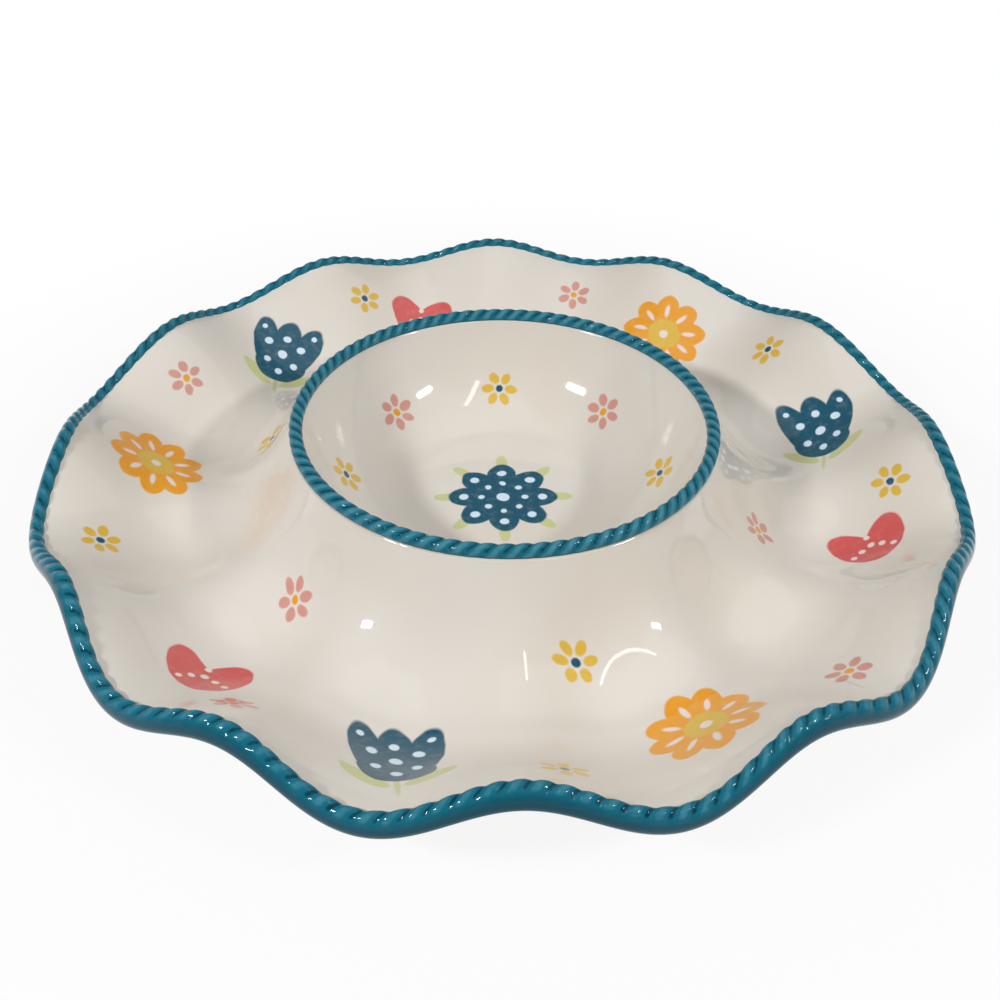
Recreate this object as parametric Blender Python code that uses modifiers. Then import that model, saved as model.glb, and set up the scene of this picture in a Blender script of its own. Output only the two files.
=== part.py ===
"""Chip and dip platter: a ruffled stoneware tray round a dip bowl, both edged with moulded rope.

The part stands on z = 0 with the bowl's axis on Z. A ruffle's crest lies on +X. All sizes are metres.
"""
import math

import bpy
import numpy as np

# Ruffled rim, measured at the middle of its bead
RUFFLES = 12
RIM_RADIUS = 0.172
RIM_HEIGHT = 0.033
RUFFLE_RISE = 0.0057
RUFFLE_REACH = 0.0029

# Rim bead, an oval standing on the wall's edge, twisted on its upper half
BEAD_HALF_HEIGHT = 0.0045
BEAD_HALF_DEPTH = 0.00285
BEAD_FLAT = 0.0019
BEAD_STRANDS = 162
BEAD_GROOVE = 0.0006
BEAD_LAY = 0.0068

# Tray: a cone round the bowl, the chip well and the fluted wall
WALL = 0.005
WALL_RUN = 0.050
WALL_PITCH = math.radians(20.0)
WALL_PITCH_SWING = math.radians(8.5)
WELL_HEIGHT = 0.0105
FLUTE_RISE = 0.0028
CONE_PITCH = math.radians(60.0)
COLLAR_DEPTH = 0.006

# Dip bowl
BOWL_RADIUS = 0.0772
BOWL_LIP = 0.0024
BOWL_WALL = 0.005
BOWL_FLOOR_HEIGHT = 0.009
BOWL_FLOOR_RADIUS = 0.038
BOWL_PITCH = math.radians(70.0)

# Rope round the bowl's mouth, an oval with a flat underside
ROPE_HEIGHT = 0.0482
ROPE_HALF_WIDTH = 0.0026
ROPE_HALF_HEIGHT = 0.0029
ROPE_FLAT = 0.0017
ROPE_STRANDS = 84
ROPE_GROOVE = 0.0005
ROPE_LAY = 0.0066

# Foot ring under the well
FOOT_WIDTH = 0.007
FOOT_TOP_WIDTH = 0.009

# Gap between pieces that seat on each other
CLEARANCE = 0.0003

# Fullness of the curves: each handle as a share of its own span
CONE_TOP_PULL = 0.36
CONE_FOOT_PULL = 0.40
WALL_FOOT_PULL = 0.36
WALL_TOP_PULL = 0.40
BOWL_FLOOR_PULL = 0.31
BOWL_LIP_PULL = 0.48

# Fineness of the mesh
STATIONS_PER_RUFFLE = 12
CONE_STEPS = 6
WALL_STEPS = 6
BOWL_STEPS = 60
BOWL_PROFILE_STEPS = 8
BEAD_LOWER_STEPS = 3
BEAD_UPPER_STEPS = 5
ROPE_SECTION_STEPS = 7
MERGE_DISTANCE = 0.00001
SHARP_ANGLE = math.radians(50.0)

# Glazes
CREAM = (0.72, 0.67, 0.58, 1.0)
TEAL = (0.012, 0.125, 0.19, 1.0)
BISQUE = (0.62, 0.56, 0.47, 1.0)
GLAZE_ROUGHNESS = 0.12
BISQUE_ROUGHNESS = 0.75

# Places that follow from the sizes above
FLAT_HALF_WIDTH = ROPE_HALF_WIDTH * math.sqrt(1.0 - (ROPE_FLAT / ROPE_HALF_HEIGHT) ** 2)
ROPE_RADIUS = BOWL_RADIUS + FLAT_HALF_WIDTH
SEAT_HEIGHT = ROPE_HEIGHT - ROPE_FLAT - CLEARANCE
COLLAR_INNER = BOWL_RADIUS + BOWL_LIP + CLEARANCE
COLLAR_OUTER = ROPE_RADIUS + FLAT_HALF_WIDTH
WELL_RADIUS = RIM_RADIUS - WALL_RUN


def clear_scene():
    """Remove whatever objects the scene holds."""
    for item in list(bpy.data.objects):
        bpy.data.objects.remove(item, do_unlink=True)


def glaze(name, colour, roughness):
    """A plain Principled material."""
    material = bpy.data.materials.new(name)
    material.use_nodes = True
    shader = material.node_tree.nodes["Principled BSDF"]
    shader.inputs["Base Color"].default_value = colour
    shader.inputs["Roughness"].default_value = roughness
    shader.inputs["Metallic"].default_value = 0.0
    return material


def add_piece(mesh, material, collection, parent):
    """Put a finished mesh in the platter's collection, under its empty."""
    piece = bpy.data.objects.new(mesh.name, mesh)
    collection.objects.link(piece)
    piece.parent = parent
    mesh.materials.append(material)
    return piece


def wave(angle):
    """The ruffle: 1 on a crest, -1 in a dip."""
    return np.cos(RUFFLES * angle)


def curve(start, start_handle, end_handle, end, steps):
    """Points of a Bezier cubic at every station, from start up to, but not including, end."""
    share = np.linspace(0.0, 1.0, steps, endpoint=False)[None, :, None]
    rest = 1.0 - share
    near_start = rest ** 3 * start[:, None, :] + 3.0 * rest ** 2 * share * start_handle[:, None, :]
    near_end = 3.0 * rest * share ** 2 * end_handle[:, None, :] + share ** 3 * end[:, None, :]
    return near_start + near_end


def ring(angle, radius, height):
    """A ring of points in radius and height, one at each station's angle."""
    radius, height, _ = np.broadcast_arrays(radius, height, angle)
    return np.stack([radius, height], axis=-1)


def tray_line(collar, well, rim, pitch):
    """One side of the tray in section: down the cone, across the well and up the wall, rim included."""
    level = np.array([1.0, 0.0])
    down_cone = np.array([math.cos(CONE_PITCH), -math.sin(CONE_PITCH)])
    up_wall = np.stack([np.cos(pitch), np.sin(pitch)], axis=-1)
    cone_span = np.linalg.norm(well - collar, axis=-1, keepdims=True)
    wall_span = np.linalg.norm(rim - well, axis=-1, keepdims=True)
    cone = curve(collar, collar + down_cone * CONE_TOP_PULL * cone_span,
                 well - level * CONE_FOOT_PULL * cone_span, well, CONE_STEPS)
    wall = curve(well, well + level * WALL_FOOT_PULL * wall_span,
                 rim - up_wall * WALL_TOP_PULL * wall_span, rim, WALL_STEPS)
    return np.concatenate([cone, wall, rim[:, None, :]], axis=1)


def bead_frame(angle):
    """Middle of the rim bead, with the directions along the wall and off it, in radius and height."""
    crest = wave(angle)
    pitch = WALL_PITCH + WALL_PITCH_SWING * crest
    middle = ring(angle, RIM_RADIUS - RUFFLE_REACH * crest, RIM_HEIGHT + RUFFLE_RISE * crest)
    along = np.stack([np.cos(pitch), np.sin(pitch)], axis=-1)
    off = np.stack([-np.sin(pitch), np.cos(pitch)], axis=-1)
    return middle, along, off, pitch


def turned(section, angle):
    """Turn radius and height at each angle into points in space."""
    radius, height = section[..., 0], section[..., 1]
    return np.stack([radius * np.cos(angle), radius * np.sin(angle), height], axis=-1)


def ring_mesh(name, points):
    """Skin a grid of points that closes round the ring and round its section, section anticlockwise."""
    index = np.arange(points.shape[0] * points.shape[1]).reshape(points.shape[:2])
    ahead = np.roll(index, -1, axis=0)
    quads = np.stack([index, ahead, np.roll(ahead, -1, axis=1), np.roll(index, -1, axis=1)], axis=-1)
    mesh = bpy.data.meshes.new(name)
    mesh.from_pydata(points.reshape(-1, 3).tolist(), [], quads.reshape(-1, 4).tolist())
    mesh.shade_smooth()
    mesh.set_sharp_from_angle(angle=SHARP_ANGLE)
    return mesh


def station_angles():
    """Angles of the tray's stations, a whole number to each ruffle."""
    count = RUFFLES * STATIONS_PER_RUFFLE
    return np.arange(count) * (2.0 * math.pi / count)


def tray_mesh():
    """Tray body: a wall of even thickness from the collar under the rope to the edge under the bead."""
    angle = station_angles()
    middle, along, off, pitch = bead_frame(angle)
    edge = middle - along * (BEAD_FLAT + CLEARANCE)
    well = WELL_HEIGHT + FLUTE_RISE * wave(angle)
    top = tray_line(ring(angle, COLLAR_OUTER, SEAT_HEIGHT),
                    ring(angle, WELL_RADIUS, well), edge + off * WALL / 2.0, pitch)
    under = tray_line(ring(angle, COLLAR_INNER, SEAT_HEIGHT - COLLAR_DEPTH),
                      ring(angle, WELL_RADIUS, well - WALL), edge - off * WALL / 2.0, pitch)
    seat = ring(angle, COLLAR_INNER, SEAT_HEIGHT)[:, None, :]
    section = np.concatenate([under, top[:, ::-1], seat], axis=1)
    return ring_mesh("tray_body", turned(section, angle[:, None]))


def foot_mesh():
    """Foot ring: flat on the table, its top following the flutes of the well's underside."""
    angle = station_angles()
    top = WELL_HEIGHT - WALL - CLEARANCE + FLUTE_RISE * wave(angle)
    corners = [(-FOOT_WIDTH / 2.0, 0.0), (FOOT_WIDTH / 2.0, 0.0),
               (FOOT_TOP_WIDTH / 2.0, top), (-FOOT_TOP_WIDTH / 2.0, top)]
    section = np.stack([ring(angle, WELL_RADIUS + side, height) for side, height in corners], axis=1)
    return ring_mesh("foot_ring", turned(section, angle[:, None]))


def ease(low, high, value):
    """Rise smoothly from 0 at low to 1 at high."""
    share = np.clip((value - low) / (high - low), 0.0, 1.0)
    return share * share * (3.0 - 2.0 * share)


def twisted_oval(half_across, half_up, turn, strands, groove, lay_angle, twist):
    """Oval section of a moulded rope at every station: offsets across and up, and each point's angle.

    Stations alternate between a strand's ridge and the groove beside it. Each point's angle leads by its
    share of the lay, so ridges run slantwise over the section. The twist says how deep grooves are there.
    """
    station = np.arange(2 * strands)[:, None]
    share = (turn - turn[0]) / (turn[-1] - turn[0])
    angle = station * (math.pi / strands) + lay_angle * share[None, :]
    relief = np.where(station % 2 == 0, 0.0, -groove) * twist[None, :]
    normal = np.stack([np.cos(turn) / half_across, np.sin(turn) / half_up], axis=-1)
    normal = normal / np.linalg.norm(normal, axis=-1, keepdims=True)
    across = half_across * np.cos(turn) + relief * normal[:, 0]
    up = half_up * np.sin(turn) + relief * normal[:, 1]
    return across, up, angle


def bead_mesh():
    """Rim bead: an oval whose flat inner face seats on the wall's edge, twisted on its upper half."""
    corner = math.acos(-BEAD_FLAT / BEAD_HALF_DEPTH)
    lower = np.linspace(-corner, 0.0, BEAD_LOWER_STEPS, endpoint=False)
    upper = np.linspace(0.0, corner, BEAD_UPPER_STEPS + 1)
    turn = np.concatenate([lower, upper])
    twist = ease(-upper[1], upper[1], turn) * (1.0 - ease(upper[-2], upper[-1], turn))
    across, up, angle = twisted_oval(BEAD_HALF_DEPTH, BEAD_HALF_HEIGHT, turn, BEAD_STRANDS, BEAD_GROOVE,
                                     BEAD_LAY / RIM_RADIUS, twist)
    middle, along, off, _ = bead_frame(angle)
    section = middle + along * across[..., None] + off * up[..., None]
    return ring_mesh("rim_rope", turned(section, angle))


def rope_mesh():
    """Bowl rope: an oval whose flat underside seats across the bowl's lip and the tray's collar."""
    corner = math.asin(ROPE_FLAT / ROPE_HALF_HEIGHT)
    turn = np.linspace(-corner, math.pi + corner, ROPE_SECTION_STEPS + 1)
    twist = ease(turn[0], turn[1], turn) * (1.0 - ease(turn[-2], turn[-1], turn))
    across, up, angle = twisted_oval(ROPE_HALF_WIDTH, ROPE_HALF_HEIGHT, turn, ROPE_STRANDS, ROPE_GROOVE,
                                     ROPE_LAY / ROPE_RADIUS, twist)
    section = np.stack([ROPE_RADIUS + across, ROPE_HEIGHT + up], axis=-1)
    return ring_mesh("bowl_rope", turned(section, angle))


def bowl_side(lip_radius, floor_height):
    """One side of the bowl in section: level from the axis, then up to the lip, lip included."""
    level = np.array([1.0, 0.0])
    rise = np.array([math.cos(BOWL_PITCH), math.sin(BOWL_PITCH)])
    axis = np.array([[0.0, floor_height]])
    floor = np.array([[BOWL_FLOOR_RADIUS, floor_height]])
    lip = np.array([[lip_radius, SEAT_HEIGHT]])
    span = np.linalg.norm(lip - floor)
    side = curve(floor, floor + level * BOWL_FLOOR_PULL * span, lip - rise * BOWL_LIP_PULL * span, lip,
                 BOWL_PROFILE_STEPS)
    return np.concatenate([axis, side[0], lip])


def bowl_mesh():
    """Profile of the dip bowl: up the inside from the axis, over the lip and down the outside."""
    inside = bowl_side(BOWL_RADIUS, BOWL_FLOOR_HEIGHT)
    outside = bowl_side(BOWL_RADIUS + BOWL_LIP, BOWL_FLOOR_HEIGHT - BOWL_WALL)
    profile = np.concatenate([inside, outside[::-1]])
    points = [(radius, 0.0, height) for radius, height in profile]
    edges = [(i, i + 1) for i in range(len(points) - 1)]
    mesh = bpy.data.meshes.new("dip_bowl")
    mesh.from_pydata(points, edges, [])
    return mesh


def turn_profile(piece, steps):
    """Turn a profile once round the Z axis."""
    screw = piece.modifiers.new("turn", "SCREW")
    screw.axis = "Z"
    screw.angle = 2.0 * math.pi
    screw.steps = steps
    screw.render_steps = steps
    screw.use_merge_vertices = True
    screw.merge_threshold = MERGE_DISTANCE
    screw.use_smooth_shade = True


def build():
    """Make the platter's five pieces."""
    clear_scene()
    collection = bpy.data.collections.new("chip_and_dip_platter")
    bpy.context.scene.collection.children.link(collection)
    platter = bpy.data.objects.new("platter", None)
    collection.objects.link(platter)
    cream = glaze("cream_glaze", CREAM, GLAZE_ROUGHNESS)
    bowl_cream = glaze("bowl_glaze", CREAM, GLAZE_ROUGHNESS)
    teal = glaze("rim_glaze", TEAL, GLAZE_ROUGHNESS)
    rope_teal = glaze("rope_glaze", TEAL, GLAZE_ROUGHNESS)
    bisque = glaze("foot_bisque", BISQUE, BISQUE_ROUGHNESS)
    add_piece(tray_mesh(), cream, collection, platter)
    bowl = add_piece(bowl_mesh(), bowl_cream, collection, platter)
    turn_profile(bowl, BOWL_STEPS)
    add_piece(bead_mesh(), teal, collection, platter)
    add_piece(rope_mesh(), rope_teal, collection, platter)
    add_piece(foot_mesh(), bisque, collection, platter)


build()
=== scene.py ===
"""Looks of a chip and dip platter: glazed stoneware with rope edges and painted folk motifs.

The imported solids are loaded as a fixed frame. Each piece's fine surface and finish is made around them,
and a plain studio stage is set. All sizes are metres, with the bowl's axis on Z and a ruffle's crest on +X.
"""
import math

import bpy
import numpy as np
from bpy.props import FloatProperty, FloatVectorProperty, IntProperty, PointerProperty
from mathutils import Euler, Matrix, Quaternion, Vector


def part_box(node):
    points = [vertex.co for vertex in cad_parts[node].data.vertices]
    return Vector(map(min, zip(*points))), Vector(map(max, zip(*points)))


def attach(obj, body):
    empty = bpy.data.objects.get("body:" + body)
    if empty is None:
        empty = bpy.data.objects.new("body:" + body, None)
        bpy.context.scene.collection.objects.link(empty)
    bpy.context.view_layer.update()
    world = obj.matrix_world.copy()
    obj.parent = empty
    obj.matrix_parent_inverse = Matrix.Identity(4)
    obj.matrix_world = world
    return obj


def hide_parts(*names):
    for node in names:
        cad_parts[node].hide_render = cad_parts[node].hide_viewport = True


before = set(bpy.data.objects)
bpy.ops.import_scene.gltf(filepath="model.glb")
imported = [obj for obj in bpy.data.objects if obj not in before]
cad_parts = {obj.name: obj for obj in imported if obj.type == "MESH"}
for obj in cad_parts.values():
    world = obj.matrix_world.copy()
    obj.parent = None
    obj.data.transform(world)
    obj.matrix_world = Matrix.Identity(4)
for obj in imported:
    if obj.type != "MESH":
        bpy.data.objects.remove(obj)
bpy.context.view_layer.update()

bl_info = {
    "name": "Chip and Dip Platter",
    "version": (1, 0, 0),
    "blender": (4, 5, 0),
    "location": "View3D > Sidebar > Platter",
    "description": "Ruffled stoneware platter with rope edges, painted motifs and a studio stage",
    "category": "Add Mesh",
}

MM = 0.001
FULL_TURN = 2.0 * math.pi
BODY = "root"

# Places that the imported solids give
BOWL_LOW, BOWL_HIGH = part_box("dip_bowl")
_, BOWL_ROPE_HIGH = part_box("bowl_rope")
_, FOOT_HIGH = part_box("foot_ring")

# Fineness of the surfaces
STATIONS_PER_RUFFLE = 48
CONE_STEPS = 40
WALL_STEPS = 52
UNDER_CONE_STEPS = 12
UNDER_WALL_STEPS = 20
BOWL_STATIONS = 288
BOWL_STEPS = 60
BOWL_UNDER_STEPS = 24
FLOOR_STEPS = 24
STATIONS_PER_STRAND = 12
ROPE_SECTION_STEPS = 40
FOOT_STATIONS = 288
FOOT_ROUND_STEPS = 6

# How far pieces reach into each other where they are luted together, and the tray's collar under the bowl's
# rope: its drop below the rope's middle, its reach outside it and its thickness
LIP_TUCK = 0.8 * MM
FOOT_TUCK = 1.0 * MM
COLLAR_DROP = 1.2 * MM
COLLAR_REACH = 2.0 * MM
COLLAR_THICKNESS = 6.0 * MM

# Sizes that set the bowl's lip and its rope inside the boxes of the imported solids
BOWL_LIP = 2.4 * MM
ROPE_HALF_WIDTH = 2.6 * MM

# A distance that no paint reaches, given to surfaces that are not decorated
BARE = 1.0

# Where the twist of the ropes starts, is full, starts to fade and ends. The rim's bead counts half turns
# from its outer edge over its top, and its section starts at its lip. The bowl's rope counts shares of a
# turn from its foot round the outside, and its strands do not slant on the share that is its foot.
BEAD_TWIST = (-0.02, 0.26, 0.45, 1.20)
BEAD_LIP = -math.pi / 4.0
ROPE_TWIST = (0.12, 0.38, 0.62, 0.88)
ROPE_FOOT = 1.0 / 6.0
GROOVE_NARROWNESS = 1.6

# Painted shade on the ropes' undersides, also standing for glaze that runs down and pools: on the rim's bead
# where it faces this far below its outer edge, and on the bowl's rope where it faces down
POOL_SHADE_TURN = math.pi / 4.0
POOL_SHADE_RANGE = (0.1, 1.0)
POOL_SHADE_DEPTH = 0.80

# Finish of the glazes and the bare clay: roughness, shine, sizes of their unevenness and its depth
GLAZE_ROUGHNESS = 0.055
GLAZE_SHINE = 0.65
GLAZE_RIPPLE = 22.0 * MM
GLAZE_RIPPLE_DEPTH = 0.12 * MM
CREAM_PATCH = 60.0 * MM
CREAM_PATCH_RANGE = (0.35, 0.75)
ROPE_ROUGHNESS = 0.08
ROPE_SHINE = 0.18
ROPE_MOTTLE = 2.5 * MM
ROPE_MOTTLE_SHARE = 0.5
ROPE_RIPPLE = 3.0 * MM
ROPE_RIPPLE_DEPTH = 0.05 * MM
BARE_ROUGHNESS = 0.78
BARE_SHINE = 0.5
CLAY_GRAIN = 0.8 * MM
CLAY_GRAIN_DEPTH = 0.15 * MM
CLAY_SOIL = 14.0 * MM
CLAY_SOIL_RANGE = (0.4, 0.8)
CLAY_SOIL_SHARE = 0.5
CLAY_SOIL_DARKNESS = 0.7

# Heights on a strand, from 0 in its groove to 1 on its top, between which teal turns from deep to plain, and
# from plain to pale on the rim's bead and on the bowl's rope. The deep is glaze pooled in the groove and
# painted shade there; the pale is glaze thinned on the top and a painted highlight there.
GROOVE_RANGE = (-0.05, 0.38)
BEAD_BREAK_SHEEN = (0.70, 1.30)
ROPE_BREAK_SHEEN = (0.62, 1.15)

# Noise runs from 0 to 1 about this middle, and has this much detail where it is soft and where it is fine
NOISE_MIDDLE = 0.5
SOFT_DETAIL = 2.0
FINE_DETAIL = 3.0

# Numbers of a Mix node's sockets for colours: its share, the colours under and over, and its result
MIX_SHARE, MIX_UNDER, MIX_OVER, MIX_RESULT = 0, 6, 7, 2

# The brush: wobble of its line, streaks of thin paint, soft edges, thin leaves and the paints by name
BRUSH_WOBBLE_SIZE = 9.0 * MM
BRUSH_WOBBLE = 1.6 * MM
BRUSH_WOBBLE_DETAIL = 1.0
BRUSH_STREAK = 3.0 * MM
BRUSH_STREAK_RANGE = (0.45, 0.85)
BRUSH_THINNING = 0.10
PAINT_EDGE = 0.35 * MM
PAINT_COVER = {"leaf": 0.75}
PAINTS = ("blue", "orange", "red", "yellow", "leaf", "white", "shell")

# Places, sizes and turns of the motifs. A start is the angle of a motif's first station.
MOTIFS = 3
MOTIF_FROM_RIM = 35.0 * MM
MOTIF_WANDER = math.radians(6.0)
TULIP_START = math.radians(15.0)
TULIP_SCALE = 1.15
TULIP_TILT = math.radians(105.0)
SUN_START = math.radians(55.0)
SUN_SCALE = 1.2
SUN_PETALS = 9
HEART_START = math.radians(105.0)
HEART_TILT = math.radians(15.0)
DAISY_PETALS = 6
DAISY_WANDER = math.radians(40.0)
WALL_DAISIES = 9
WALL_DAISY_START = math.radians(35.0)
WALL_DAISY_FROM_RIM = 22.0 * MM
CONE_DAISIES = 6
CONE_DAISY_START = math.radians(42.0)
CONE_DAISY_FROM_RIM = 80.0 * MM
BOWL_DAISIES = 8
BOWL_DAISY_START = 0.0
BOWL_DAISY_FROM_AXIS = 66.0 * MM
ROSETTE_SCALE = 1.1
ROSETTE_PETALS = 8

# The stage: floor, backdrop and lamps. In mirrors and glass, the backdrop has a share of its white, which
# fades between two angles above level. A lamp has its degrees to the right of the front and above level,
# its width and height, and the degrees that it is rolled by.
PLAIN_WHITE = (1.0, 1.0, 1.0, 1.0)
FLOOR_HALF = 4.0
FLOOR_DROP = 0.2 * MM
FLOOR_COLOUR = (0.85, 0.85, 0.85)
FLOOR_ROUGHNESS = 1.0
FLOOR_SHINE = 0.0
FLOOR_SHADOW = 0.12
FLOOR_SHADOW_NEAR = 0.18
FLOOR_SHADOW_FAR = 0.34
HORIZON_LOW = 0.0
HORIZON_HIGH = math.radians(22.0)
MIRRORED_WHITE = 0.45
LAMP_DISTANCE = 1.2
LEFT_LAMP = (-57.5, 39.0, 0.22, 0.09, 8.0)
RIGHT_LAMP = (62.0, 39.0, 0.20, 0.08, 0.0)
TOP_LAMP = (90.0, 72.0, 1.40, 1.40, 0.0)
TUBE_LAMP = (30.5, 56.7, 0.55, 0.05, 55.0)
SENSOR_WIDTH = 36.0
NEAREST_SIGHT = 0.01


def length(label, words, size):
    """A property for a length in metres."""
    return FloatProperty(name=label, description=words, default=size, min=0.0, precision=5, unit="LENGTH")


def slope(label, words, degrees):
    """A property for an angle, its default in degrees."""
    return FloatProperty(name=label, description=words, default=math.radians(degrees), unit="ROTATION")


def amount(label, words, size):
    """A property for a plain number."""
    return FloatProperty(name=label, description=words, default=size)


def power(label, words, watts):
    """A property for a lamp's power in watts."""
    return FloatProperty(name=label, description=words, default=watts, min=0.0, unit="POWER")


def number(label, words, count):
    """A property for a whole number of repeats."""
    return IntProperty(name=label, description=words, default=count, min=1)


def colour(label, words, value):
    """A property for a linear colour."""
    return FloatVectorProperty(name=label, description=words, default=value, size=3, min=0.0, max=1.0,
                               subtype="COLOR")


class PlatterSizes(bpy.types.PropertyGroup):
    """Sizes of the platter's pieces."""

    ruffles: number("Ruffles", "Waves round the rim", 12)
    rim_radius: length("Rim radius", "Radius of the rim's bead, halfway from crest to dip", 0.1718)
    rim_height: length("Rim height", "Height of the rim's bead, halfway from crest to dip", 0.033)
    ruffle_rise: length("Ruffle rise", "How far a crest stands above the rim's height", 0.0057)
    ruffle_reach: length("Ruffle reach", "How far a dip leans out past the rim's radius", 0.0029)
    bead_half_height: length("Bead half height", "Half the rim bead's size, off the wall", 0.0045)
    bead_half_depth: length("Bead half depth", "Half the rim bead's size, along the wall", 0.00285)
    bead_strands: number("Bead strands", "Strands of the rim's twist", 162)
    bead_groove: length("Bead groove", "Depth between the rim's strands", 0.00055)
    bead_lay: length("Bead lay", "How far a strand runs round the rim while it crosses the bead", 0.0105)
    wall: length("Wall", "Thickness of the tray's clay", 0.005)
    wall_pitch: slope("Wall pitch", "Slope of the wall at the rim", 20.0)
    wall_pitch_swing: slope("Wall pitch swing", "How much steeper the wall is under a crest", 8.5)
    well_radius: length("Well radius", "Radius of the chip well's lowest line", 0.122)
    well_height: length("Well height", "Height of the chip well's lowest line", 0.0105)
    flute_rise: length("Flute rise", "How far the ruffle still lifts the well's lowest line", 0.0028)
    cone_pitch: slope("Cone pitch", "Slope of the cone just under the bowl's rope", 60.0)
    cone_top_pull: amount("Cone top pull", "Straightness of the cone's top", 0.36)
    cone_foot_pull: amount("Cone foot pull", "Straightness of the cone's foot", 0.40)
    wall_foot_pull: amount("Wall foot pull", "Flatness of the wall's foot", 0.36)
    wall_top_pull: amount("Wall top pull", "Straightness of the wall's top", 0.40)
    bowl_radius: length("Bowl radius", "Inner radius at the bowl's mouth", BOWL_HIGH.x - BOWL_LIP)
    bowl_wall: length("Bowl wall", "Thickness of the bowl's floor", 0.005)
    bowl_floor_radius: length("Bowl floor radius", "Radius of the bowl's level floor", 0.038)
    bowl_pitch: slope("Bowl pitch", "Slope of the bowl's side at its lip", 70.0)
    bowl_floor_pull: amount("Bowl floor pull", "Fullness of the bowl's floor at its edge", 0.31)
    bowl_lip_pull: amount("Bowl lip pull", "Straightness of the bowl's side", 0.48)
    rope_radius: length("Rope radius", "Radius of the bowl rope's middle",
                        BOWL_ROPE_HIGH.x - ROPE_HALF_WIDTH)
    rope_height: length("Rope height", "Height of the bowl rope's middle", 0.0482)
    rope_half_width: length("Rope half width", "Half the bowl rope's width", ROPE_HALF_WIDTH)
    rope_strands: number("Rope strands", "Strands of the bowl rope's twist", 84)
    rope_groove: length("Rope groove", "Depth between the bowl rope's strands", 0.00045)
    rope_lay: length("Rope lay", "How far a strand runs round the mouth while it crosses the rope", 0.0115)
    foot_width: length("Foot width", "Width of the foot ring where it stands", 0.007)
    foot_round: length("Foot round", "Radius of the foot ring's worn edges", 0.0014)


class PlatterGlazes(bpy.types.PropertyGroup):
    """Colours of the glazes and paints."""

    cream: colour("Cream", "Glaze of the tray and the bowl", (0.80, 0.752, 0.685))
    warm_cream: colour("Warm cream", "Cream where the glaze is thin", (0.775, 0.715, 0.63))
    teal: colour("Teal", "Glaze of the ropes", (0.008, 0.150, 0.222))
    # Deep teal stands for glaze pooled between strands and below, and is also painted shade there
    pool_shade_teal: colour("Deep teal", "Teal where it pools between strands", (0.002, 0.048, 0.078))
    # Pale teal stands for glaze thinned over strand tops, and is also a painted highlight there
    break_sheen_teal: colour("Pale teal", "Teal where it breaks over a strand", (0.070, 0.275, 0.358))
    blue: colour("Blue", "Painted tulips, rosette and middles of daisies", (0.007, 0.094, 0.155))
    orange: colour("Orange", "Painted suns and middles of daisies", (0.88, 0.37, 0.020))
    red: colour("Red", "Painted hearts", (0.70, 0.112, 0.105))
    yellow: colour("Yellow", "Painted daisies and middles of suns", (0.78, 0.50, 0.06))
    pink: colour("Pink", "Painted daisies", (0.70, 0.33, 0.27))
    leaf: colour("Leaf", "Painted leaves", (0.58, 0.62, 0.20))
    white: colour("White", "Painted dots on blue", (0.72, 0.87, 1.0))
    shell: colour("Shell", "Painted dots on red and orange", (0.88, 0.76, 0.70))
    bisque: colour("Bisque", "Bare clay of the foot ring", (0.60, 0.53, 0.43))


class PlatterStage(bpy.types.PropertyGroup):
    """The camera and the lights."""

    camera_place: FloatVectorProperty(name="Camera place", description="Where the camera stands",
                                      default=(-0.0151, -0.3582, 0.2889), subtype="TRANSLATION",
                                      unit="LENGTH")
    camera_turn: FloatVectorProperty(name="Camera turn", description="How the camera is turned",
                                     default=[math.radians(turn) for turn in (51.848, -0.788, -1.592)],
                                     subtype="EULER", unit="ROTATION")
    camera_lens: FloatProperty(name="Camera lens", description="Focal length in millimetres", default=40.46,
                               unit="CAMERA")
    room_light: amount("Room light", "Strength of the even light from all round", 0.24)
    left_light: power("Left light", "Power of the left lamp", 6.5)
    right_light: power("Right light", "Power of the right lamp", 3.85)
    top_light: power("Top light", "Power of the ceiling's lamp", 2.7)
    tube_light: power("Tube light", "Power of the ceiling's tube", 0.6)


def bezier(start, start_handle, end_handle, end, steps):
    """Points of a cubic at every station: the four points weighted by the cubic's Bernstein shares.

    The points run from start up to, but not including, end.
    """
    share = np.linspace(0.0, 1.0, steps, endpoint=False)[None, :, None]
    rest = 1.0 - share
    near_start = rest ** 3 * start[:, None, :] + 3.0 * rest ** 2 * share * start_handle[:, None, :]
    near_end = 3.0 * rest * share ** 2 * end_handle[:, None, :] + share ** 3 * end[:, None, :]
    return near_start + near_end


def ease(low, high, value):
    """Rise smoothly from 0 at low to 1 at high, as 3s^2 - 2s^3."""
    share = np.clip((value - low) / (high - low), 0.0, 1.0)
    return share * share * (3.0 - 2.0 * share)


def ring(angle, radius, height):
    """A ring of points in radius and height, one at each station's angle."""
    radius, height, _ = np.broadcast_arrays(radius, height, angle)
    return np.stack([radius, height], axis=-1)


def turned(section, angle):
    """Radius and height carried round Z: x = r cos(angle), y = r sin(angle), z = height."""
    radius, height = section[..., 0], section[..., 1]
    return np.stack([radius * np.cos(angle), radius * np.sin(angle), height], axis=-1)


def stations(count):
    """Angles of evenly spaced stations round the platter."""
    return np.arange(count) * (FULL_TURN / count)


def along_line(section):
    """Length along each station's line of points, 0 at its first point."""
    steps = np.linalg.norm(np.diff(section, axis=1), axis=-1)
    return np.concatenate([np.zeros_like(steps[:, :1]), np.cumsum(steps, axis=1)], axis=1)


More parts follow.
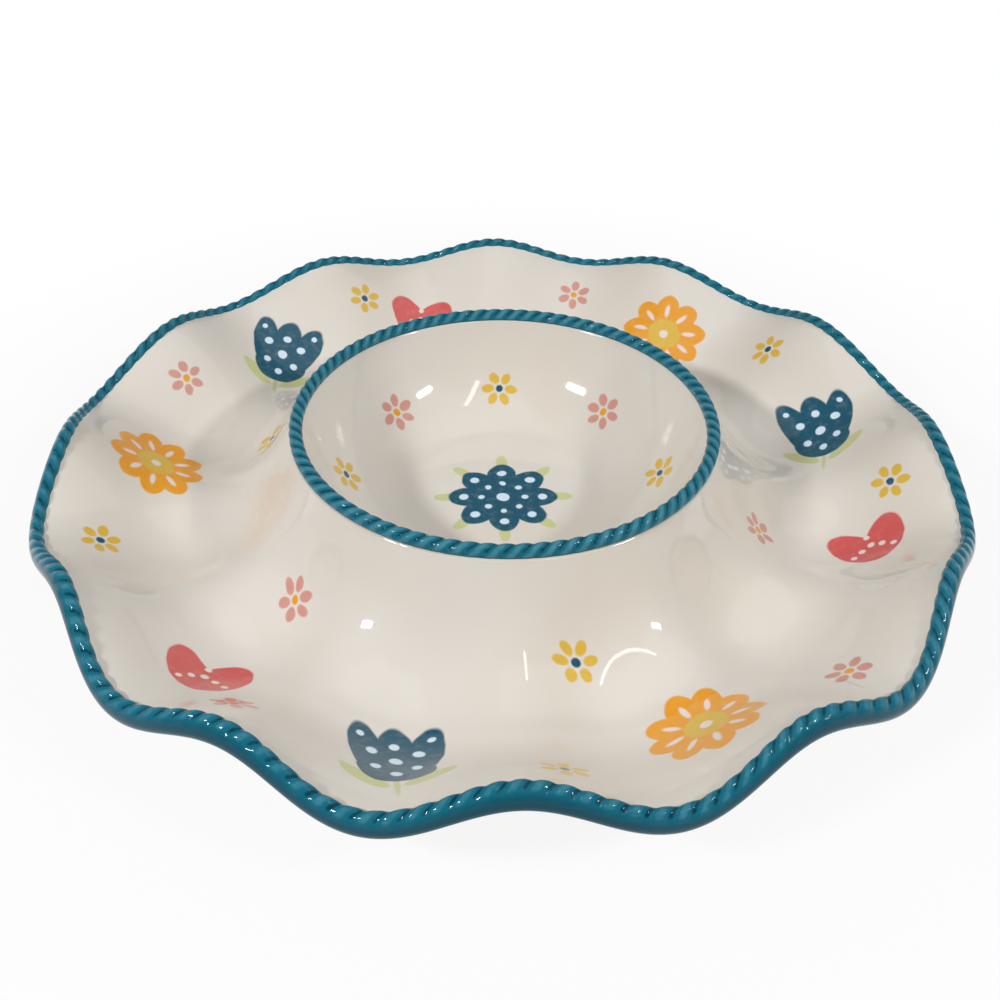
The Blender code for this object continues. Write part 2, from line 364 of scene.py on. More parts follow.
def bead_frame(sizes, angle):
    """Middle of the rim's bead and the directions along the wall and off it, in radius and height.

    The ruffle is the cosine of the angle times the number of ruffles: it lifts the bead, draws it in and
    steepens the wall at each crest.
    """
    crest = np.cos(sizes.ruffles * angle)
    pitch = sizes.wall_pitch + sizes.wall_pitch_swing * crest
    middle = ring(angle, sizes.rim_radius - sizes.ruffle_reach * crest,
                  sizes.rim_height + sizes.ruffle_rise * crest)
    along = np.stack([np.cos(pitch), np.sin(pitch)], axis=-1)
    off = np.stack([-np.sin(pitch), np.cos(pitch)], axis=-1)
    return middle, along, off


def tray_line(sizes, collar, well, rim, along, cone_steps, wall_steps):
    """A face of the tray in section: a cubic down the cone to the well, level there, and one up the wall."""
    level = np.array([1.0, 0.0])
    down_cone = np.array([math.cos(sizes.cone_pitch), -math.sin(sizes.cone_pitch)])
    cone_span = np.linalg.norm(well - collar, axis=-1, keepdims=True)
    wall_span = np.linalg.norm(rim - well, axis=-1, keepdims=True)
    cone = bezier(collar, collar + down_cone * sizes.cone_top_pull * cone_span,
                  well - level * sizes.cone_foot_pull * cone_span, well, cone_steps)
    wall = bezier(well, well + level * sizes.wall_foot_pull * wall_span,
                  rim - along * sizes.wall_top_pull * wall_span, rim, wall_steps)
    return np.concatenate([cone, wall, rim[:, None, :]], axis=1)


def skin(name, points, poles=None):
    """Mesh of a grid of points that closes round the platter and round its section.

    Faces join each point to its neighbours one station and one section step on. With two poles the section
    stays open, and fans of triangles join its first and last rows to these points on the axis.
    """
    count, steps = points.shape[:2]
    index = np.arange(count * steps).reshape(count, steps)
    ahead = np.roll(index, -1, axis=0)
    quads = np.stack([index, ahead, np.roll(ahead, -1, axis=1), np.roll(index, -1, axis=1)], axis=-1)
    corners = points.reshape(-1, 3)
    if poles is None:
        faces = quads.reshape(-1, 4).tolist()
    else:
        first = np.full(count, len(corners))
        start_fan = np.stack([first, ahead[:, 0], index[:, 0]], axis=-1)
        end_fan = np.stack([index[:, -1], ahead[:, -1], first + 1], axis=-1)
        faces = quads[:, :-1].reshape(-1, 4).tolist() + start_fan.tolist() + end_fan.tolist()
        corners = np.concatenate([corners, poles])
    mesh = bpy.data.meshes.new(name)
    mesh.from_pydata(corners, [], faces)
    mesh.shade_smooth()
    return mesh


def note(mesh, name, values):
    """Keep a number for each point on the mesh, for its material to read."""
    layer = mesh.attributes.new(name, "FLOAT", "POINT")
    layer.data.foreach_set("value", np.ascontiguousarray(values, dtype=np.float32).ravel())


def place(context, mesh, material, node):
    """Put a finished mesh in the scene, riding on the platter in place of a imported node."""
    piece = bpy.data.objects.new(mesh.name, mesh)
    context.scene.collection.objects.link(piece)
    mesh.materials.append(material)
    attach(piece, BODY)
    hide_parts(node)


class Wire:
    """A socket of one node tree. Sums on wires add Math nodes, and add() places any other node."""

    def __init__(self, tree, socket=None):
        self.tree = tree
        self.socket = socket

    def add(self, kind, settings, sockets, output=0):
        """Place a node: its settings first, then the values or wires of its sockets."""
        node = self.tree.nodes.new("ShaderNode" + kind)
        for name, value in settings.items():
            setattr(node, name, value)
        for name, value in sockets.items():
            if isinstance(value, Wire):
                self.tree.links.new(value.socket, node.inputs[name])
            else:
                node.inputs[name].default_value = value
        return Wire(self.tree, node.outputs[output])

    def also(self, output):
        """Another output of the node that this wire comes from."""
        return Wire(self.tree, self.socket.node.outputs[output])

    def feed(self, socket):
        """Link this wire to a shader's socket."""
        self.tree.links.new(self.socket, socket)

    def maths(self, operation, *values):
        """A Math node on these values."""
        return self.add("Math", {"operation": operation}, dict(enumerate(values)))

    def __add__(self, other):
        return self.maths("ADD", self, other)

    def __radd__(self, other):
        return self.maths("ADD", other, self)

    def __sub__(self, other):
        return self.maths("SUBTRACT", self, other)

    def __rsub__(self, other):
        return self.maths("SUBTRACT", other, self)

    def __mul__(self, other):
        return self.maths("MULTIPLY", self, other)

    def __rmul__(self, other):
        return self.maths("MULTIPLY", other, self)

    def __truediv__(self, other):
        return self.maths("DIVIDE", self, other)

    def __rtruediv__(self, other):
        return self.maths("DIVIDE", other, self)


def opaque(value):
    """A linear colour with full alpha."""
    return (*value, 1.0)


def new_glaze(name, roughness, shine):
    """An empty glaze: its material, its Principled shader and a wire to build on."""
    material = bpy.data.materials.new(name)
    material.use_nodes = True
    shader = material.node_tree.nodes["Principled BSDF"]
    shader.inputs["Roughness"].default_value = roughness
    shader.inputs["Specular IOR Level"].default_value = shine
    return material, shader, Wire(material.node_tree)


def blend(under, over, share):
    """One colour laid over another by a share from 0 to 1."""
    sockets = {MIX_SHARE: share, MIX_UNDER: under, MIX_OVER: over}
    return share.add("Mix", {"data_type": "RGBA"}, sockets, MIX_RESULT)


def cloud(wire, point, size, detail=SOFT_DETAIL):
    """Soft noise from 0 to 1, with patches of about this size."""
    return wire.add("TexNoise", {}, {"Vector": point, "Scale": 1.0 / size, "Detail": detail})


def between(value, low, high, at_low=0.0, at_high=1.0):
    """A value eased from one level at low to another at high."""
    sockets = {"Value": value, "From Min": low, "From Max": high, "To Min": at_low, "To Max": at_high}
    return value.add("MapRange", {"interpolation_type": "SMOOTHSTEP"}, sockets)


def ripple(wire, shader, point, size, depth):
    """Uneven glaze: a bump of soft noise on the shader's normal."""
    height = cloud(wire, point, size)
    bump = wire.add("Bump", {}, {"Strength": 1.0, "Distance": depth, "Height": height})
    bump.feed(shader.inputs["Normal"])


# Brush dabs of each motif, in millimetres and degrees: across, out, lean, half width, half length
TULIP = (
    ("leaf", ((8.5, -12.0, -55.0, 2.6, 8.0), (0.0, -16.0, 0.0, 0.8, 6.0))),
    ("blue", ((0.0, 4.0, 0.0, 6.0, 13.0), (7.0, 3.0, -16.0, 5.6, 14.0), (0.0, -4.5, 0.0, 10.5, 9.0))),
    ("white", ((0.0, 9.0, 0.0, 1.5, 1.5), (6.5, 5.5, 0.0, 1.6, 1.6), (0.0, 1.0, 0.0, 1.9, 1.9),
               (5.5, -3.5, 0.0, 1.5, 1.5), (0.0, -8.0, 0.0, 1.5, 1.5), (10.0, 12.0, 0.0, 1.1, 1.1))),
)
HEART = (
    ("red", ((4.9, 1.5, 36.0, 7.4, 13.6),)),
    ("shell", ((0.0, 1.0, 0.0, 1.4, 1.4), (4.0, 3.0, 0.0, 1.3, 1.3), (7.6, 5.8, 0.0, 1.2, 1.2),
               (0.0, -4.0, 0.0, 1.2, 1.2))),
)
SUN = (
    ("orange", ((0.0, 10.0, 0.0, 4.6, 6.5), (0.0, 0.0, 0.0, 11.0, 11.0))),
    ("yellow", ((0.0, 0.0, 0.0, 6.2, 6.2),)),
    ("shell", ((0.0, 9.6, 0.0, 0.9, 2.6), (0.0, 0.0, 0.0, 1.7, 1.7))),
)
DAISY = (
    ("petal", ((0.0, 5.2, 0.0, 1.9, 2.7),)),
    ("middle", ((0.0, 0.0, 0.0, 1.6, 1.6),)),
)
ROSETTE = (
    ("leaf", ((0.0, 21.0, 0.0, 2.2, 4.5),)),
    ("blue", ((0.0, 12.0, 0.0, 5.6, 8.0), (0.0, 0.0, 0.0, 13.0, 13.0))),
    ("white", ((0.0, 14.5, 0.0, 1.7, 1.7), (0.0, 8.0, 0.0, 1.2, 1.2), (0.0, 0.0, 0.0, 2.4, 2.4))),
)


def split(point):
    """The first two coordinates of a point."""
    first = point.add("SeparateXYZ", {}, {"Vector": point}, "X")
    return first, first.also("Y")


def mirrored(point):
    """Fold a motif's left half on to its right half."""
    across, out = split(point)
    return point.add("CombineXYZ", {}, {"X": across.maths("ABSOLUTE", across), "Y": out})


def petalled(point, petals):
    """Fold the plane round a motif's middle into one wedge, whose middle points outwards."""
    across, out = split(point)
    reach = point.add("VectorMath", {"operation": "LENGTH"}, {0: point}, "Value")
    half = math.pi / petals
    turn = across.maths("WRAP", across.maths("ARCTAN2", across, out), half, -half)
    sideways = reach * turn.maths("SINE", turn)
    onwards = reach * turn.maths("COSINE", turn)
    return point.add("CombineXYZ", {}, {"X": sideways, "Y": onwards})


def dab(point, stroke, unit):
    """Distance from one oval brush dab, below 0 inside: its stretched radius less 1, times its width."""
    across, out, lean, half_width, half_length = stroke
    sockets = {
        "Vector": point,
        "Location": (across * unit, out * unit, 0.0),
        "Rotation": (0.0, 0.0, math.radians(lean)),
        "Scale": (half_width * unit, half_length * unit, 1.0),
    }
    local = point.add("Mapping", {"vector_type": "TEXTURE"}, sockets)
    reach = point.add("VectorMath", {"operation": "LENGTH"}, {0: local}, "Value")
    return (reach - 1.0) * (min(half_width, half_length) * unit)


def painted(under, point, motif, paints, scale=1.0):
    """Lay a motif's dabs over a colour, layer by layer."""
    unit = scale * MM
    for name, strokes in motif:
        distance = dab(point, strokes[0], unit)
        for stroke in strokes[1:]:
            distance = distance.maths("MINIMUM", distance, dab(point, stroke, unit))
        cover = PAINT_COVER.get(name, 1.0)
        under = blend(under, paints[name], between(distance, -PAINT_EDGE, PAINT_EDGE, cover, 0.0))
    return under


def spots(polar, count, start, middle, tilt, wander, onward=0.0):
    """Repeat a motif's plane round the platter: across the way round, out along the surface.

    The plane of each of count stations is centred at the middle distance, turned by tilt, by onward from
    station to station, and by a wander of its own. Returns the plane and the station's number.
    """
    angle, radius, out, wobble = polar
    step = FULL_TURN / count
    ahead = angle - start
    station = ahead.maths("FLOORED_MODULO", ahead.maths("ROUND", ahead / step), float(count))
    local = ahead.maths("WRAP", ahead, step / 2.0, -step / 2.0)
    flat = angle.add("CombineXYZ", {}, {"X": local * radius, "Y": out - middle})
    flat = angle.add("VectorMath", {"operation": "ADD"}, {0: flat, 1: wobble})
    chance = angle.add("TexWhiteNoise", {"noise_dimensions": "1D"}, {"W": station + middle})
    turn = (chance - NOISE_MIDDLE) * (2.0 * wander) + station * onward + tilt
    plane = angle.add("VectorRotate", {"rotation_type": "Z_AXIS"}, {"Vector": flat, "Angle": turn})
    return plane, station


def polar_place(wire, out):
    """The shader's place on the platter: angle, radius, the given distance and a brush's small wobble."""
    point = wire.add("TexCoord", {}, {}, "Object")
    across, back = split(point)
    angle = wire.maths("ARCTAN2", back, across)
    flat = wire.add("CombineXYZ", {}, {"X": across, "Y": back})
    radius = wire.add("VectorMath", {"operation": "LENGTH"}, {0: flat}, "Value")
    noise = cloud(wire, point, BRUSH_WOBBLE_SIZE, BRUSH_WOBBLE_DETAIL).also("Color")
    centred = wire.add("VectorMath", {"operation": "SUBTRACT"}, {0: noise, 1: (NOISE_MIDDLE,) * 3})
    wobble = wire.add("VectorMath", {"operation": "SCALE"}, {0: centred, "Scale": BRUSH_WOBBLE})
    return point, (angle, radius, out, wobble)


def brushed(wire, point, clean, ground):
    """Uneven pigment: a painted colour thinned towards its ground by streaks of soft noise."""
    streak = between(cloud(wire, point, BRUSH_STREAK, FINE_DETAIL), *BRUSH_STREAK_RANGE, 0.0, BRUSH_THINNING)
    return blend(clean, ground, streak)


def paint_set(glazes):
    """Painted colours by name."""
    return {name: opaque(getattr(glazes, name)) for name in PAINTS}


def daisies(under, polar, glazes, count, start, middle):
    """A ring of daisies, yellow with blue middles and pink with orange ones in turn."""
    plane, station = spots(polar, count, start, middle, 0.0, DAISY_WANDER)
    odd = station.maths("FLOORED_MODULO", station, 2.0)
    paints = {
        "petal": blend(opaque(glazes.yellow), opaque(glazes.pink), odd),
        "middle": blend(opaque(glazes.blue), opaque(glazes.orange), odd),
    }
    return painted(under, petalled(plane, DAISY_PETALS), DAISY, paints)


def cream_ground(wire, point, glazes):
    """Cream glaze, warmer in soft patches."""
    patch = between(cloud(wire, point, CREAM_PATCH, FINE_DETAIL), *CREAM_PATCH_RANGE)
    return blend(opaque(glazes.cream), opaque(glazes.warm_cream), patch)


def tray_glaze(glazes):
    """Cream glaze with tulips, hearts and suns round the wall and daisies between them and on the cone."""
    material, shader, wire = new_glaze("cream_glaze", GLAZE_ROUGHNESS, GLAZE_SHINE)
    out = wire.add("Attribute", {"attribute_name": "from_rim"}, {}, "Fac")
    point, polar = polar_place(wire, out)
    ground = cream_ground(wire, point, glazes)
    paints = paint_set(glazes)
    turn = FULL_TURN / MOTIFS
    plane, _ = spots(polar, MOTIFS, TULIP_START, MOTIF_FROM_RIM, TULIP_TILT, MOTIF_WANDER, turn)
    look = painted(ground, mirrored(plane), TULIP, paints, TULIP_SCALE)
    plane, _ = spots(polar, MOTIFS, SUN_START, MOTIF_FROM_RIM, 0.0, MOTIF_WANDER)
    look = painted(look, petalled(plane, SUN_PETALS), SUN, paints, SUN_SCALE)
    plane, _ = spots(polar, MOTIFS, HEART_START, MOTIF_FROM_RIM, HEART_TILT, MOTIF_WANDER, turn)
    look = painted(look, mirrored(plane), HEART, paints)
    look = daisies(look, polar, glazes, WALL_DAISIES, WALL_DAISY_START, WALL_DAISY_FROM_RIM)
    look = daisies(look, polar, glazes, CONE_DAISIES, CONE_DAISY_START, CONE_DAISY_FROM_RIM)
    look = brushed(wire, point, look, ground)
    look.feed(shader.inputs["Base Color"])
    ripple(wire, shader, point, GLAZE_RIPPLE, GLAZE_RIPPLE_DEPTH)
    return material


def bowl_glaze(glazes):
    """Cream glaze with a rosette on the bowl's floor and daisies round its side."""
    material, shader, wire = new_glaze("bowl_glaze", GLAZE_ROUGHNESS, GLAZE_SHINE)
    out = wire.add("Attribute", {"attribute_name": "from_axis"}, {}, "Fac")
    point, polar = polar_place(wire, out)
    ground = cream_ground(wire, point, glazes)
    angle, _, _, wobble = polar
    across = out * angle.maths("COSINE", angle)
    back = out * angle.maths("SINE", angle)
    floor = wire.add("CombineXYZ", {}, {"X": across, "Y": back})
    floor = wire.add("VectorMath", {"operation": "ADD"}, {0: floor, 1: wobble})
    paints = paint_set(glazes)
    look = painted(ground, petalled(floor, ROSETTE_PETALS), ROSETTE, paints, ROSETTE_SCALE)
    look = daisies(look, polar, glazes, BOWL_DAISIES, BOWL_DAISY_START, BOWL_DAISY_FROM_AXIS)
    look = brushed(wire, point, look, ground)
    look.feed(shader.inputs["Base Color"])
    ripple(wire, shader, point, GLAZE_RIPPLE, GLAZE_RIPPLE_DEPTH)
    return material


def rope_glaze(name, glazes, break_sheen):
    """Teal glaze, pooled and painted shade in grooves and below, thin glaze and painted highlight on tops.
    """
    material, shader, wire = new_glaze(name, ROPE_ROUGHNESS, ROPE_SHINE)
    point = wire.add("TexCoord", {}, {}, "Object")
    strand = wire.add("Attribute", {"attribute_name": "strand"}, {}, "Fac")
    pool_shade = wire.add("Attribute", {"attribute_name": "pool_shade"}, {}, "Fac")
    uneven = cloud(wire, point, ROPE_MOTTLE, FINE_DETAIL)
    height = strand + (uneven - NOISE_MIDDLE) * ROPE_MOTTLE_SHARE
    # Painted shade: teal deepens in the grooves, for the shade there as well as glaze pooled in them
    look = blend(opaque(glazes.pool_shade_teal), opaque(glazes.teal), between(height, *GROOVE_RANGE))
    # Painted highlight: teal turns pale on strand tops, as thin glaze there and as the lamps' glints
    look = blend(look, opaque(glazes.break_sheen_teal), between(height - pool_shade, *break_sheen))
    # Painted shade on the lower side, also standing for glaze pooled there
    look = blend(look, opaque(glazes.pool_shade_teal), pool_shade * POOL_SHADE_DEPTH)
    look.feed(shader.inputs["Base Color"])
    ripple(wire, shader, point, ROPE_RIPPLE, ROPE_RIPPLE_DEPTH)
    return material


def foot_bisque(glazes):
    """Bare fired clay, grained and a little soiled."""
    material, shader, wire = new_glaze("foot_bisque", BARE_ROUGHNESS, BARE_SHINE)
    point = wire.add("TexCoord", {}, {}, "Object")
    grain = cloud(wire, point, CLAY_GRAIN, FINE_DETAIL)
    soil = between(cloud(wire, point, CLAY_SOIL, FINE_DETAIL), *CLAY_SOIL_RANGE, 0.0, CLAY_SOIL_SHARE)
    dark = tuple(CLAY_SOIL_DARKNESS * channel for channel in glazes.bisque)
    look = blend(opaque(glazes.bisque), opaque(dark), soil * (NOISE_MIDDLE + grain))
    look.feed(shader.inputs["Base Color"])
    ripple(wire, shader, point, CLAY_GRAIN, CLAY_GRAIN_DEPTH)
    return material


def tray_mesh(sizes):
    """Tray: its upper face, its edge inside the rim's bead and its under face, one wall thickness apart."""
    angle = stations(sizes.ruffles * STATIONS_PER_RUFFLE)
    middle, along, off = bead_frame(sizes, angle)
    lift = off * sizes.wall / 2.0
    well = sizes.well_height + sizes.flute_rise * np.cos(sizes.ruffles * angle)
    collar_height = sizes.rope_height - COLLAR_DROP
    top = tray_line(sizes, ring(angle, sizes.rope_radius + COLLAR_REACH, collar_height),
                    ring(angle, sizes.well_radius, well), middle + lift, along, CONE_STEPS, WALL_STEPS)
    under = tray_line(sizes, ring(angle, sizes.rope_radius, collar_height - COLLAR_THICKNESS),
                      ring(angle, sizes.well_radius, well - sizes.wall), middle - lift, along,
                      UNDER_CONE_STEPS, UNDER_WALL_STEPS)
    section = np.concatenate([under, top[:, ::-1]], axis=1)
    mesh = skin("tray", turned(section, angle[:, None]))
    from_rim = along_line(top[:, ::-1])
    note(mesh, "from_rim", np.concatenate([np.full(under.shape[:2], BARE), from_rim], axis=1))
    return mesh


def bowl_side(sizes, lip_radius, floor_height, steps):
    """Bowl's side: a level floor from the axis, then a cubic that leaves it level and rises to the lip."""
    level = np.array([1.0, 0.0])
    floor = np.array([[sizes.bowl_floor_radius, floor_height]])
    lip = np.array([[lip_radius, BOWL_HIGH.z + LIP_TUCK]])
    rise = np.array([math.cos(sizes.bowl_pitch), math.sin(sizes.bowl_pitch)])
    span = np.linalg.norm(lip - floor)
    side = bezier(floor, floor + level * sizes.bowl_floor_pull * span,
                  lip - rise * sizes.bowl_lip_pull * span, lip, steps)[0]
    flat = np.linspace(0.0, sizes.bowl_floor_radius, FLOOR_STEPS, endpoint=False)[:, None] * level
    return np.concatenate([flat + np.array([0.0, floor_height]), side, lip])


def bowl_mesh(sizes):
    """Bowl: its outer side from the axis out to the lip, and its inner side back to the axis."""
    angle = stations(BOWL_STATIONS)
    floor_top = BOWL_LOW.z + sizes.bowl_wall
    inside = bowl_side(sizes, sizes.bowl_radius, floor_top, BOWL_STEPS)
    outside = bowl_side(sizes, BOWL_HIGH.x, BOWL_LOW.z, BOWL_UNDER_STEPS)
    line = np.concatenate([outside[1:], inside[:0:-1]])
    section = np.broadcast_to(line, (BOWL_STATIONS, *line.shape))
    poles = np.array([[0.0, 0.0, BOWL_LOW.z], [0.0, 0.0, floor_top]])
    mesh = skin("bowl", turned(section, angle[:, None]), poles)
    from_axis = along_line(inside[None])[0]
    row = np.concatenate([np.full(len(outside) - 1, BARE), from_axis[:0:-1]])
    grid = np.broadcast_to(row, section.shape[:2]).ravel()
    note(mesh, "from_axis", np.concatenate([grid, [BARE, from_axis[0]]]))
    return mesh


def strand_relief(strands, groove):
    """Height of each station over a strand: 0 on its top, down to a soft groove.

    The fall is a cosine wave from 0 to 1, raised to a power that narrows the groove.
    """
    share = np.arange(strands * STATIONS_PER_STRAND) / STATIONS_PER_STRAND
    valley = (1.0 + np.cos(FULL_TURN * share)) / 2.0
    return -groove * valley[:, None] ** GROOVE_NARROWNESS


def oval(turn, half_across, half_up):
    """Points and outward normals of an oval at each turn: a cos across and b sin up."""
    points = np.stack([half_across * np.cos(turn), half_up * np.sin(turn)], axis=-1)
    normals = np.stack([np.cos(turn) / half_across, np.sin(turn) / half_up], axis=-1)
    return points, normals / np.linalg.norm(normals, axis=-1, keepdims=True)


def rim_rope_mesh(sizes):
    """Rim rope: an oval carried along the ruffle, its outer lip smooth and the rest twisted.

    Stations lead by the lay as the section goes from the lip over the top, and fall back underneath, so that
    the ridges slant.
    """
    turn = BEAD_LIP + stations(ROPE_SECTION_STEPS)
    rise, full, fade, end = (math.pi * half_turns for half_turns in BEAD_TWIST)
    lead = np.interp(turn, [BEAD_LIP, end, BEAD_LIP + FULL_TURN], [0.0, 1.0, 0.0])
    angle = stations(sizes.bead_strands * STATIONS_PER_STRAND)[:, None]
    angle = angle + lead[None, :] * sizes.bead_lay / sizes.rim_radius
    twist = ease(rise, full, turn) * (1.0 - ease(fade, end, turn))
    relief = strand_relief(sizes.bead_strands, sizes.bead_groove) * twist[None, :]
    points, normals = oval(turn, sizes.bead_half_depth, sizes.bead_half_height)
    offset = points[None] + relief[..., None] * normals[None]
    middle, along, off = bead_frame(sizes, angle)
    section = middle + along * offset[..., :1] + off * offset[..., 1:]
    mesh = skin("rim_rope_glazed", turned(section, angle))
    note(mesh, "strand", 1.0 + relief / sizes.bead_groove)
    # Painted shade where the bead faces down and out below its lip
    note(mesh, "pool_shade", np.broadcast_to(ease(*POOL_SHADE_RANGE, np.cos(turn + POOL_SHADE_TURN)), relief.shape))
    return mesh


def bowl_rope_mesh(sizes):
    """Bowl rope: an oval carried round the mouth and twisted, its unseen foot smooth and drawn back."""
    turn = stations(ROPE_SECTION_STEPS) - math.pi / 2.0
    over = (turn + math.pi / 2.0) / FULL_TURN
    lead = np.clip((over - ROPE_FOOT / 2.0) / (1.0 - ROPE_FOOT), 0.0, 1.0)
    angle = stations(sizes.rope_strands * STATIONS_PER_STRAND)[:, None]
    angle = angle + lead[None, :] * sizes.rope_lay / sizes.rope_radius
    rise, full, fade, end = ROPE_TWIST
    twist = ease(rise, full, over) * (1.0 - ease(fade, end, over))
    relief = strand_relief(sizes.rope_strands, sizes.rope_groove) * twist[None, :]
    half_height = BOWL_ROPE_HIGH.z - sizes.rope_height
    points, normals = oval(turn, sizes.rope_half_width, half_height)
    offset = points[None] + relief[..., None] * normals[None]
    section = np.array([sizes.rope_radius, sizes.rope_height]) + offset
    mesh = skin("bowl_rope_glazed", turned(section, angle))
    note(mesh, "strand", 1.0 + relief / sizes.rope_groove)
    # Painted shade where the rope faces down
    note(mesh, "pool_shade", np.broadcast_to(ease(*POOL_SHADE_RANGE, -np.sin(turn)), relief.shape))
    return mesh


def foot_mesh(sizes):
    """Foot ring: flat on the table with rounded edges, its top inside the tray's clay."""
    angle = stations(FOOT_STATIONS)
    quarter = np.linspace(0.0, math.pi / 2.0, FOOT_ROUND_STEPS)
    half = sizes.foot_width / 2.0
    inset = half - sizes.foot_round
    right = np.stack([inset + sizes.foot_round * np.sin(quarter),
                      sizes.foot_round * (1.0 - np.cos(quarter))], axis=-1)
    left = right[::-1] * np.array([-1.0, 1.0])
    crest = np.cos(sizes.ruffles * angle)
    top = sizes.well_height - sizes.wall + sizes.flute_rise * crest + FOOT_TUCK
    spread = FOOT_HIGH.x - sizes.well_radius
    upper = np.stack([ring(angle, spread, top), ring(angle, -spread, top)], axis=1)
    lower = np.broadcast_to(np.concatenate([left, right])[None], (FOOT_STATIONS, 2 * FOOT_ROUND_STEPS, 2))
    section = np.concatenate([lower, upper], axis=1) + np.array([sizes.well_radius, 0.0])
    return skin("foot", turned(section, angle[:, None]))


class PLATTER_OT_tray(bpy.types.Operator):
    """Make the ruffled tray with its painted cream glaze"""

    bl_idname = "platter.tray"
    bl_label = "Tray"

    def execute(self, context):
        sizes, glazes = context.scene.platter_sizes, context.scene.platter_glazes
        place(context, tray_mesh(sizes), tray_glaze(glazes), "tray_body")
        return {"FINISHED"}


class PLATTER_OT_bowl(bpy.types.Operator):
    """Make the dip bowl with its painted cream glaze"""

    bl_idname = "platter.bowl"
    bl_label = "Dip bowl"

    def execute(self, context):
        sizes, glazes = context.scene.platter_sizes, context.scene.platter_glazes
        place(context, bowl_mesh(sizes), bowl_glaze(glazes), "dip_bowl")
        return {"FINISHED"}


class PLATTER_OT_ropes(bpy.types.Operator):
    """Make the teal ropes round the rim and round the bowl's mouth"""

    bl_idname = "platter.ropes"
    bl_label = "Ropes"

    def execute(self, context):
        sizes, glazes = context.scene.platter_sizes, context.scene.platter_glazes
        rim_glaze = rope_glaze("rim_glaze", glazes, BEAD_BREAK_SHEEN)
        place(context, rim_rope_mesh(sizes), rim_glaze, "rim_rope")
        bowl_rope_glaze = rope_glaze("rope_glaze", glazes, ROPE_BREAK_SHEEN)
        place(context, bowl_rope_mesh(sizes), bowl_rope_glaze, "bowl_rope")
        return {"FINISHED"}


class PLATTER_OT_foot(bpy.types.Operator):
    """Make the unglazed foot ring"""

    bl_idname = "platter.foot"
    bl_label = "Foot ring"

    def execute(self, context):
        sizes, glazes = context.scene.platter_sizes, context.scene.platter_glazes
        place(context, foot_mesh(sizes), foot_bisque(glazes), "foot_ring")
        return {"FINISHED"}


def seen_rays(wire):
    """Two wires: 1 for rays from the camera, and 1 for rays from mirrors and glass, else 0."""
    camera = wire.add("LightPath", {}, {}, "Is Camera Ray")
    glossy = camera.also("Is Glossy Ray")
    through = camera.also("Is Transmission Ray")
    return camera, glossy.maths("MAXIMUM", glossy, through)


def floor_white():
    """White floor that takes a faint shadow round the platter's foot."""
    material, shader, wire = new_glaze("floor_white", FLOOR_ROUGHNESS, FLOOR_SHINE)
    shader.inputs["Base Color"].default_value = opaque(FLOOR_COLOUR)
    white = wire.add("Emission", {}, {"Color": PLAIN_WHITE, "Strength": 1.0})
    place_on_floor = wire.add("TexCoord", {}, {}, "Object")
    reach = wire.add("VectorMath", {"operation": "LENGTH"}, {0: place_on_floor}, "Value")
    shadow = between(reach, FLOOR_SHADOW_NEAR, FLOOR_SHADOW_FAR, FLOOR_SHADOW, 0.0)
    camera, mirror = seen_rays(wire)
    share = camera.maths("MAXIMUM", camera, mirror) * (1.0 - shadow)
    mixed = wire.add("MixShader", {}, {0: share, 1: Wire(wire.tree, shader.outputs[0]), 2: white})
    mixed.feed(wire.tree.nodes["Material Output"].inputs["Surface"])
    return material


def add_floor(context):
    """A flat white floor under the platter."""
    sides = ((-1, -1), (1, -1), (1, 1), (-1, 1))
    corners = [(x * FLOOR_HALF, y * FLOOR_HALF, -FLOOR_DROP) for x, y in sides]
    mesh = bpy.data.meshes.new("floor")
    mesh.from_pydata(corners, [], [(0, 1, 2, 3)])
    mesh.materials.append(floor_white())
    floor = bpy.data.objects.new("floor", mesh)
    context.scene.collection.objects.link(floor)


def add_room(context, strength):
    """Even room light behind a white backdrop, which mirrors and glass show dimmer, low down all round."""
    world = bpy.data.worlds.new("room")
    world.use_nodes = True
    context.scene.world = world
    wire = Wire(world.node_tree)
    background = world.node_tree.nodes["Background"]
    background.inputs["Color"].default_value = PLAIN_WHITE
    sight = wire.add("TexCoord", {}, {}, "Generated")
    up = wire.add("SeparateXYZ", {}, {"Vector": sight}, "Z")
    low = between(up, math.sin(HORIZON_LOW), math.sin(HORIZON_HIGH), 1.0, 0.0)
    camera, mirror = seen_rays(wire)
    seen = camera.maths("MAXIMUM", camera, mirror * low * MIRRORED_WHITE)
    level = seen * (1.0 - strength) + strength
    level.feed(background.inputs["Strength"])


def add_lamp(context, name, setting, watts):
    """A flat lamp that faces the platter's middle from its place round the front and above level."""
    right, above, width, height, roll = setting
    right, above, roll = (math.radians(degrees) for degrees in (right, above, roll))
    stand = Vector((math.sin(right) * math.cos(above), -math.cos(right) * math.cos(above), math.sin(above)))
    lamp = bpy.data.lights.new(name, "AREA")
    lamp.shape = "RECTANGLE"
    lamp.size = width
    lamp.size_y = height
    lamp.energy = watts
    holder = bpy.data.objects.new(name, lamp)
    holder.location = stand * LAMP_DISTANCE
    facing = (-stand).to_track_quat("-Z", "Y")
    holder.rotation_euler = (facing @ Quaternion((0.0, 0.0, 1.0), roll)).to_euler()
    context.scene.collection.objects.link(holder)


def add_camera(context, stage):
    """The camera at its stand."""
    camera = bpy.data.cameras.new("camera")
    camera.lens = stage.camera_lens
    camera.sensor_width = SENSOR_WIDTH
    camera.clip_start = NEAREST_SIGHT
    holder = bpy.data.objects.new("camera", camera)
    holder.location = stage.camera_place
    holder.rotation_euler = Euler(stage.camera_turn)
    context.scene.collection.objects.link(holder)
    context.scene.camera = holder


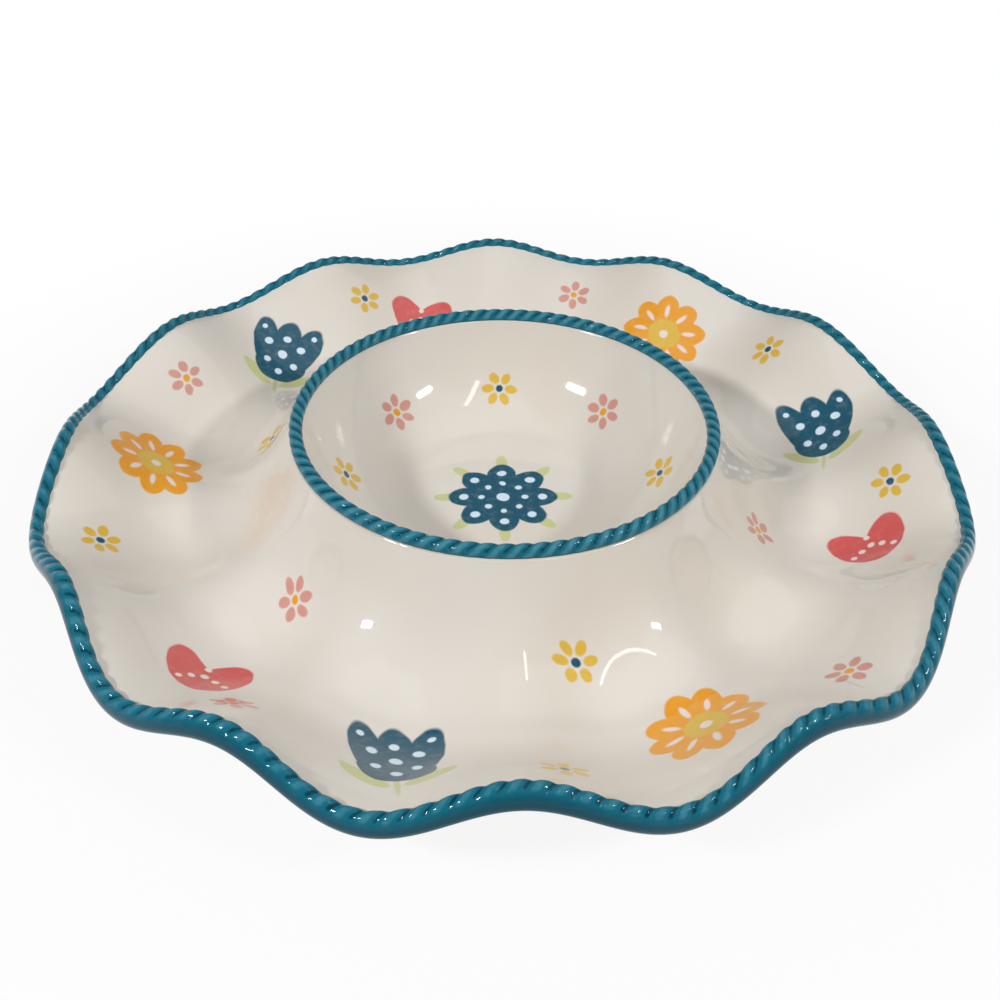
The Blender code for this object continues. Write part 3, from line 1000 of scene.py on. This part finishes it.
class PLATTER_OT_stage(bpy.types.Operator):
    """Set the floor, the room's light, the lamps and the camera"""

    bl_idname = "platter.stage"
    bl_label = "Stage"

    def execute(self, context):
        stage = context.scene.platter_stage
        context.scene.view_settings.view_transform = "Standard"
        add_floor(context)
        add_room(context, stage.room_light)
        add_lamp(context, "left_lamp", LEFT_LAMP, stage.left_light)
        add_lamp(context, "right_lamp", RIGHT_LAMP, stage.right_light)
        add_lamp(context, "top_lamp", TOP_LAMP, stage.top_light)
        add_lamp(context, "tube_lamp", TUBE_LAMP, stage.tube_light)
        add_camera(context, stage)
        return {"FINISHED"}


class PLATTER_PT_sidebar(bpy.types.Panel):
    """Lists the platter's pieces and the stage"""

    bl_idname = "PLATTER_PT_sidebar"
    bl_label = "Platter"
    bl_space_type = "VIEW_3D"
    bl_region_type = "UI"
    bl_category = "Platter"

    def draw(self, context):
        for operator in OPERATORS:
            self.layout.operator(operator.bl_idname)
        for setting in GROUPS:
            group = getattr(context.scene, setting)
            box = self.layout.box()
            for name in group.__annotations__:
                box.prop(group, name)


GROUPS = {"platter_sizes": PlatterSizes, "platter_glazes": PlatterGlazes, "platter_stage": PlatterStage}
OPERATORS = (PLATTER_OT_tray, PLATTER_OT_bowl, PLATTER_OT_ropes, PLATTER_OT_foot, PLATTER_OT_stage)


def register():
    """Make the classes and the scene's settings known to Blender."""
    for group in GROUPS.values():
        bpy.utils.register_class(group)
    for name, group in GROUPS.items():
        setattr(bpy.types.Scene, name, PointerProperty(type=group))
    for operator in OPERATORS:
        bpy.utils.register_class(operator)
    bpy.utils.register_class(PLATTER_PT_sidebar)


def unregister():
    """Take the classes and the settings away again."""
    bpy.utils.unregister_class(PLATTER_PT_sidebar)
    for operator in reversed(OPERATORS):
        bpy.utils.unregister_class(operator)
    for name, group in GROUPS.items():
        delattr(bpy.types.Scene, name)
        bpy.utils.unregister_class(group)


def main():
    """Make every piece and the stage."""
    register()
    bpy.ops.platter.tray()
    bpy.ops.platter.bowl()
    bpy.ops.platter.ropes()
    bpy.ops.platter.foot()
    bpy.ops.platter.stage()


if __name__ == "__main__":
    main()
